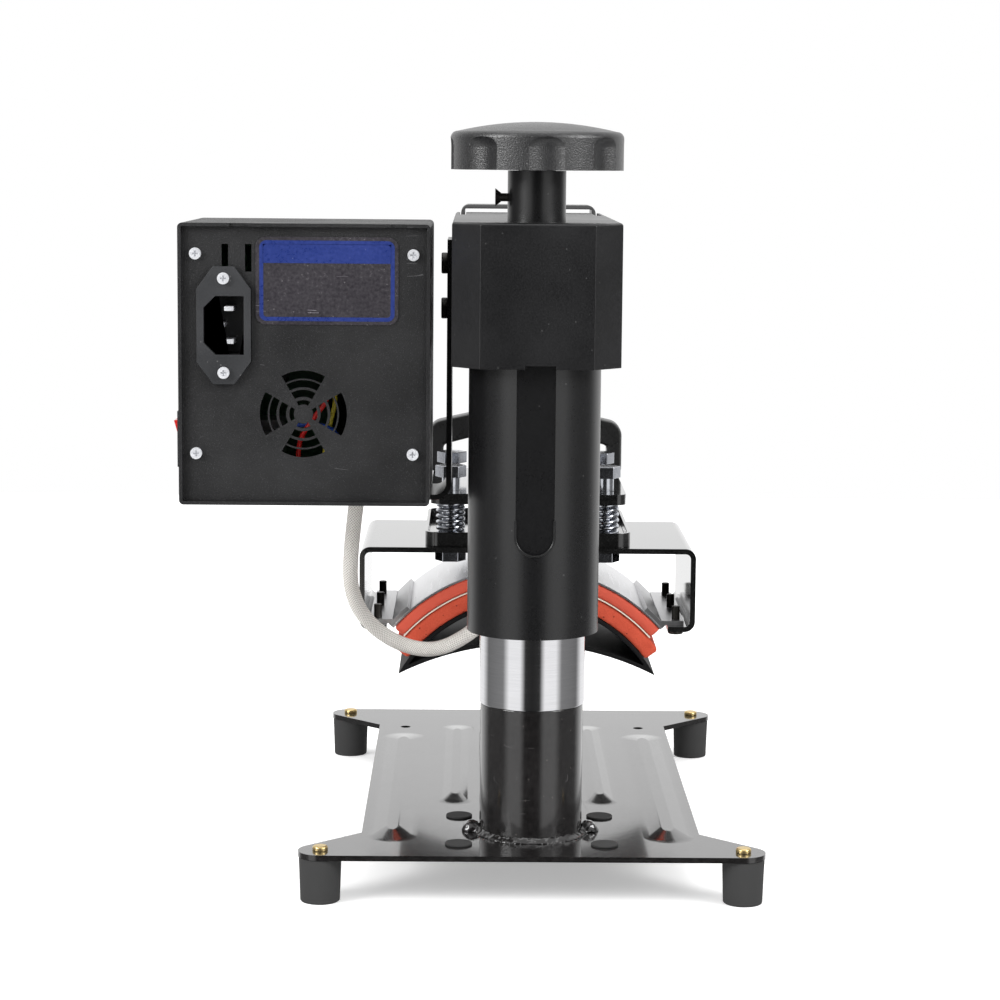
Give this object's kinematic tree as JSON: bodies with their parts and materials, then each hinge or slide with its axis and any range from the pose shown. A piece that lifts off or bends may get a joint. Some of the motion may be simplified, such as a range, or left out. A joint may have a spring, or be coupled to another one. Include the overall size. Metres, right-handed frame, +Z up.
{
  "type": "heat press",
  "caption": "Craft heat press for caps: arched heater over a curved platen, toggle lever, height knob on a column, control box.",
  "frame": {"origin": "on the floor, in the middle of the press's reach to the left and right, back and front", "axes": "+Z up, +Y from the column towards the lever's grip, +X to the right seen from the back"},
  "size_m": [0.255, 0.328, 0.331],
  "materials": {
    "black_steel": "satin powder coat",
    "bright_steel": "polished",
    "zinc": "zinc plated",
    "machined_steel": "turned",
    "bronze": "turned",
    "brass": "plated",
    "black_rubber": "moulded",
    "red_silicone": "smooth silicone",
    "white_silicone": "woven sleeve",
    "aluminium": "mill finish",
    "black_plastic": "fine grain",
    "gloss_black": "gloss",
    "red_plastic": "gloss",
    "label": "printed film, blank",
    "board_green": "circuit board",
    "grey_plastic": "plain"
  },
  "bodies": {
    "base": {"base_plate": "black_steel", "rubber_feet": "black_rubber", "foot_screws": "brass", "hole_plugs": "black_plastic", "column_post": "black_steel", "column_weld": "black_steel", "column_tube": "bright_steel", "lift_nut": "machined_steel", "platen_post": "black_steel", "post_screws": "zinc", "platen_frame": "black_steel", "platen_pad": "red_silicone"},
    "arm": {"arm_sleeve": "black_steel", "arm_frame": "black_steel", "head_cover": "black_steel", "thrust_bush": "bronze", "ram_bush": "bronze", "knob_collar": "black_steel", "box_bracket": "black_steel", "bracket_screws": "black_steel", "control_shell": "black_steel", "control_back_plate": "black_steel", "control_front_panel": "black_plastic", "back_screws": "zinc", "mains_inlet": "black_plastic", "inlet_pins": "brass", "inlet_screws": "zinc", "rating_plate": "label", "switch_frame": "black_plastic", "circuit_board": "board_green", "relay": "grey_plastic", "transformer": "machined_steel", "display_window": "gloss_black"},
    "knob": {"hand_knob": "black_plastic", "adjust_screw": "machined_steel"},
    "collar_lock": {"lock_screw": "brass"},
    "lever": {"lever_bail": "black_steel", "lever_grip": "black_rubber", "lever_shaft": "machined_steel", "toggle_crank": "machined_steel", "knee_pin": "machined_steel"},
    "link": {"toggle_links": "machined_steel", "ram_pin": "machined_steel"},
    "press": {"ram": "machined_steel", "press_plate": "black_steel", "grab_handle": "black_plastic"},
    "heater": {"heater_frame": "black_steel", "spring_tray": "black_steel", "spring_bolts": "zinc", "pressure_springs": "zinc", "heater_shell": "aluminium", "heater_mat": "red_silicone", "edge_clamps": "aluminium", "clamp_screws": "black_steel", "cable_gland": "grey_plastic", "heater_cable": "white_silicone"},
    "rocker": {"power_rocker": "red_plastic"},
    "key_1": {"panel_key_1": "grey_plastic"},
    "key_2": {"panel_key_2": "grey_plastic"},
    "key_3": {"panel_key_3": "grey_plastic"}
  },
  "joints": [
    {"name": "knob_turn", "type": "hinge", "parent": "arm", "child": "knob", "pos_m": [0.0275, -0.119, 0.3], "axis": [0, 0, 1], "range_deg": [0, 1800]},
    {"name": "arm_height", "type": "slide", "parent": "base", "child": "arm", "axis": [0, 0, 1], "range_m": [0, 0.02]},
    {"name": "lever_lift", "type": "hinge", "parent": "arm", "child": "lever", "pos_m": [0.0275, 0.033, 0.27], "axis": [1, 0, 0], "range_deg": [0, 70]},
    {"name": "link_turn", "type": "hinge", "parent": "lever", "child": "link", "pos_m": [0.0275, 0.033, 0.248], "axis": [1, 0, 0], "range_deg": [-140, 0]},
    {"name": "press_lift", "type": "slide", "parent": "arm", "child": "press", "axis": [0, 0, 1], "range_m": [0, 0.02895]},
    {"name": "heater_float", "type": "slide", "parent": "press", "child": "heater", "axis": [0, 0, 1], "range_m": [0, 0.004], "stiffness_N_per_m": 24000, "springref_m": -0.006, "deforming": ["pressure_springs"]},
    {"name": "lock_turn", "type": "hinge", "parent": "arm", "child": "collar_lock", "pos_m": [0.0135, -0.119, 0.299], "axis": [1, 0, 0], "continuous": true},
    {"name": "power_switch", "type": "hinge", "parent": "arm", "child": "rocker", "pos_m": [-0.121, -0.119, 0.195], "axis": [0, 1, 0], "range_deg": [0, 20]},
    {"name": "key_press_1", "type": "slide", "parent": "arm", "child": "key_1", "axis": [0, -1, 0], "range_m": [0, 0.001], "stiffness_N_per_m": 300, "springref_m": -0.001},
    {"name": "key_press_2", "type": "slide", "parent": "arm", "child": "key_2", "axis": [0, -1, 0], "range_m": [0, 0.001], "stiffness_N_per_m": 300, "springref_m": -0.001},
    {"name": "key_press_3", "type": "slide", "parent": "arm", "child": "key_3", "axis": [0, -1, 0], "range_m": [0, 0.001], "stiffness_N_per_m": 300, "springref_m": -0.001}
  ],
  "couplings": [
    {"joint": "knob_turn", "follows": "arm_height", "rad_per_m": 1570.8},
    {"joint": "link_turn", "follows": "lever_lift", "ratio": -2},
    {"joint": "press_lift", "follows": "lever_lift", "m_per_rad": 0.023697}
  ]
}
